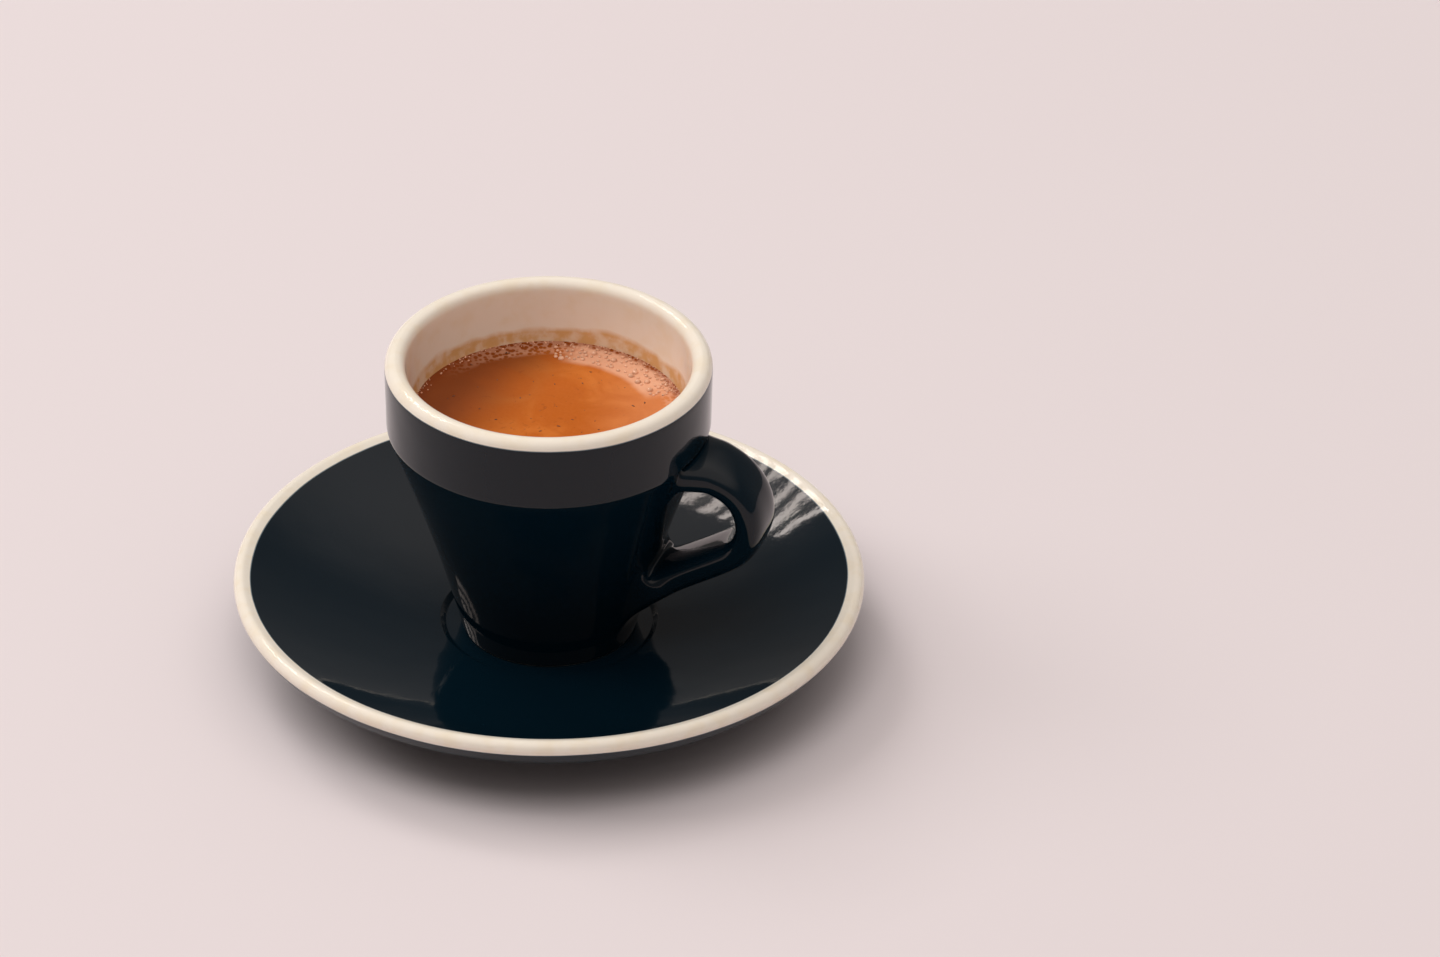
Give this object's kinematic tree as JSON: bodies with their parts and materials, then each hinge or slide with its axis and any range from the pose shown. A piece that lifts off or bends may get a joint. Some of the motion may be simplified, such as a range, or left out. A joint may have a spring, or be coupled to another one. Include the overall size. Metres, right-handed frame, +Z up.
{
  "type": "espresso shot in a cup and saucer",
  "caption": "Espresso with crema in a demitasse with a strap handle and a side that tapers to its foot, standing in the well of a hollowed saucer.",
  "frame": {"origin": "centre of the saucer's foot ring, on the table", "axes": "+Z up, +X from the cup's axis along its handle"},
  "size_m": [0.116, 0.116, 0.0631],
  "materials": {
    "cup_glaze": "gloss",
    "saucer_glaze": "gloss",
    "crema": "gloss"
  },
  "bodies": {
    "root": {"cup": "cup_glaze", "saucer": "saucer_glaze", "espresso": "crema"}
  },
  "joints": []
}
